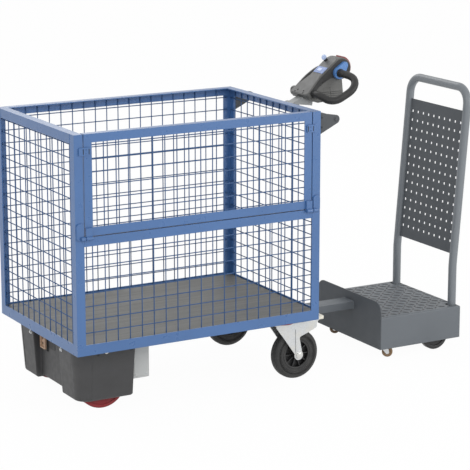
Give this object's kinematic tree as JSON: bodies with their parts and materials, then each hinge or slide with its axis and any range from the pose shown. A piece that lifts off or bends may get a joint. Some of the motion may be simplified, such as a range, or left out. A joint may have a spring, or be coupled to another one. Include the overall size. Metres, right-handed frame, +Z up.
{
  "type": "electric box cart with stand-on platform",
  "caption": "Powered box cart: mesh walls with a fold-down gate on a wheeled deck, a tiller, and a hinged stand-on platform with a perforated backrest.",
  "frame": {"origin": "on the floor under the middle of the whole vehicle's box", "axes": "+X along the length towards the operator's platform, +Y away from the gate side, +Z up"},
  "size_m": [1.8594, 0.7154, 1.2159],
  "materials": {
    "frame_blue": "powder coat",
    "wire_blue": "powder coat on wire",
    "deck_board": "film-faced board",
    "housing_plastic": "moulded, lightly textured",
    "battery_case": "moulded",
    "box_grey": "powder coat",
    "socket_tan": "moulded",
    "zinc": "bright zinc plate",
    "seal_red": "moulded",
    "plate_grey": "powder coat",
    "platform_grey": "powder coat",
    "tiller_plastic": "moulded, grained",
    "loop_rubber": "soft grip",
    "control_blue": "moulded",
    "button_red": "moulded",
    "drive_red": "polyurethane",
    "wheel_black": "moulded",
    "tyre_grey": "solid rubber",
    "step_amber": "polyurethane"
  },
  "bodies": {
    "cart": {"rim_long_rails": "frame_blue", "rim_end_rails": "frame_blue", "cross_members": "frame_blue", "deck_panel": "deck_board", "corner_posts": "frame_blue", "wall_rails": "frame_blue", "back_mesh": "wire_blue", "left_mesh": "wire_blue", "right_mesh": "wire_blue", "front_mesh": "wire_blue", "hinge_plates": "frame_blue", "drive_housing": "housing_plastic", "battery_block": "battery_case", "control_box": "box_grey", "charge_socket": "socket_tan", "drive_axles": "zinc", "castor_plates": "zinc", "castor_seals": "seal_red", "tiller_side_plates": "plate_grey", "tiller_crossbar": "plate_grey", "hitch_bracket": "platform_grey", "hitch_pin": "zinc"},
    "gate": {"gate_frame": "frame_blue", "gate_mesh": "wire_blue", "gate_hinges": "frame_blue", "gate_latches": "frame_blue"},
    "tiller": {"tiller_stem": "box_grey", "tiller_head": "tiller_plastic", "tiller_loops": "loop_rubber", "throttle_knobs": "control_blue", "safety_button": "button_red", "key_switch": "control_blue"},
    "platform": {"platform_arm": "platform_grey", "platform_box": "platform_grey", "kick_plate": "platform_grey", "backrest_tube": "platform_grey", "backrest_panel": "platform_grey", "platform_axle": "zinc", "step_castor_plates": "zinc"},
    "drive_wheel_near": {"drive_tyre_near": "drive_red", "drive_hub_near": "wheel_black"},
    "castor_near": {"castor_fork_near": "zinc", "castor_pedal_near": "zinc"},
    "castor_wheel_near": {"castor_tyre_near": "tyre_grey", "castor_rim_near": "wheel_black"},
    "platform_roller_near": {"platform_wheel_near": "wheel_black"},
    "step_castor_near": {"step_castor_fork_near": "zinc"},
    "step_roller_near": {"step_castor_wheel_near": "step_amber"},
    "drive_wheel_far": {"drive_tyre_far": "drive_red", "drive_hub_far": "wheel_black"},
    "castor_far": {"castor_fork_far": "zinc", "castor_pedal_far": "zinc"},
    "castor_wheel_far": {"castor_tyre_far": "tyre_grey", "castor_rim_far": "wheel_black"},
    "platform_roller_far": {"platform_wheel_far": "wheel_black"},
    "step_castor_far": {"step_castor_fork_far": "zinc"},
    "step_roller_far": {"step_castor_wheel_far": "step_amber"}
  },
  "joints": [
    {"name": "gate_fold", "type": "hinge", "parent": "cart", "child": "gate", "pos_m": [-0.40969, -0.35025, 0.693], "axis": [1, 0, 0], "range_deg": [0, 180]},
    {"name": "tiller_tilt", "type": "hinge", "parent": "cart", "child": "tiller", "pos_m": [0.19031, 0.00775, 1.034], "axis": [0, 1, 0], "range_deg": [-20, 25]},
    {"name": "platform_yaw", "type": "hinge", "parent": "cart", "child": "platform", "pos_m": [0.11031, 0.00775, 0.17], "axis": [0, 0, 1], "range_deg": [-60, 60]},
    {"name": "drive_roll_near", "type": "hinge", "parent": "cart", "child": "drive_wheel_near", "pos_m": [-0.77669, -0.21025, 0.1], "axis": [0, 1, 0], "continuous": true},
    {"name": "castor_swivel_near", "type": "hinge", "parent": "cart", "child": "castor_near", "pos_m": [-0.00469, -0.25625, 0.25], "axis": [0, 0, 1], "continuous": true},
    {"name": "castor_roll_near", "type": "hinge", "parent": "castor_near", "child": "castor_wheel_near", "pos_m": [0.05031, -0.25625, 0.1], "axis": [0, 1, 0], "continuous": true},
    {"name": "platform_roll_near", "type": "hinge", "parent": "platform", "child": "platform_roller_near", "pos_m": [0.76331, -0.20025, 0.062], "axis": [0, 1, 0], "continuous": true},
    {"name": "step_swivel_near", "type": "hinge", "parent": "platform", "child": "step_castor_near", "pos_m": [0.51631, -0.19225, 0.056], "axis": [0, 0, 1], "continuous": true},
    {"name": "step_roll_near", "type": "hinge", "parent": "step_castor_near", "child": "step_roller_near", "pos_m": [0.53105, -0.20257, 0.022], "axis": [0.5736, 0.8192, 0], "continuous": true},
    {"name": "drive_roll_far", "type": "hinge", "parent": "cart", "child": "drive_wheel_far", "pos_m": [-0.77669, 0.22575, 0.1], "axis": [0, 1, 0], "continuous": true},
    {"name": "castor_swivel_far", "type": "hinge", "parent": "cart", "child": "castor_far", "pos_m": [-0.00469, 0.27175, 0.25], "axis": [0, 0, 1], "continuous": true},
    {"name": "castor_roll_far", "type": "hinge", "parent": "castor_far", "child": "castor_wheel_far", "pos_m": [0.05031, 0.27175, 0.1], "axis": [0, 1, 0], "continuous": true},
    {"name": "platform_roll_far", "type": "hinge", "parent": "platform", "child": "platform_roller_far", "pos_m": [0.76331, 0.21575, 0.062], "axis": [0, 1, 0], "continuous": true},
    {"name": "step_swivel_far", "type": "hinge", "parent": "platform", "child": "step_castor_far", "pos_m": [0.51631, 0.20775, 0.056], "axis": [0, 0, 1], "continuous": true},
    {"name": "step_roll_far", "type": "hinge", "parent": "step_castor_far", "child": "step_roller_far", "pos_m": [0.53105, 0.19743, 0.022], "axis": [0.5736, 0.8192, 0], "continuous": true}
  ]
}
